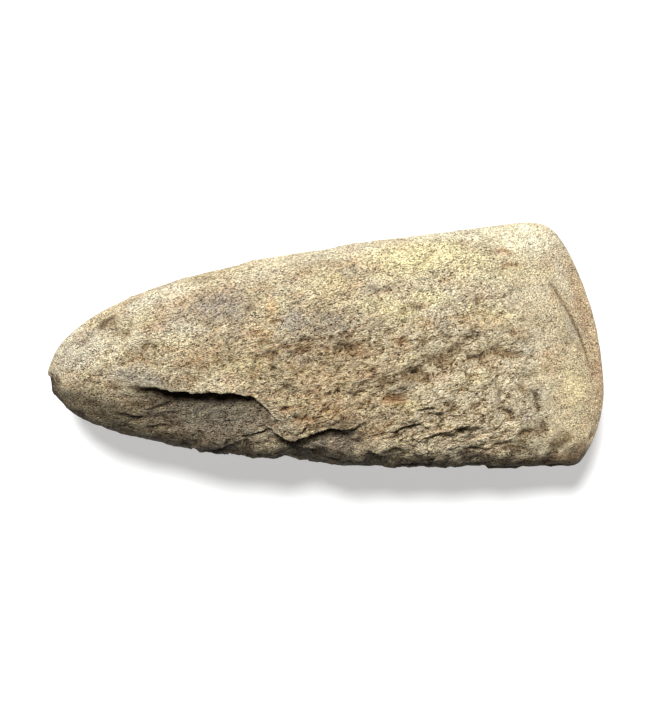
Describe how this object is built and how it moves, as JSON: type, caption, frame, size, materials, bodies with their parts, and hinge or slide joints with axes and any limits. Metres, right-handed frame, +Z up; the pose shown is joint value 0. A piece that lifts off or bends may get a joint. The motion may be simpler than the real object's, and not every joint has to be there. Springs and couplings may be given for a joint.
{
  "type": "stone axe head",
  "caption": "Stone axe head with a narrow rounded butt, pecked and flaked faces, flaring sides and a broad ground cutting edge set slightly oblique, lying flat.",
  "frame": {"origin": "centre of the bounding box in X and Y, at the height of the flat it rests on", "axes": "+X from the butt to the cutting edge, +Z up from the broad face it lies on, +Y across the blade"},
  "size_m": [0.1494, 0.066, 0.0355],
  "materials": {
    "stone": "matt, coarse-grained buff and grey stone, ground smooth only at the cutting edge"
  },
  "bodies": {
    "root": {"axe_head": "stone"}
  },
  "joints": []
}
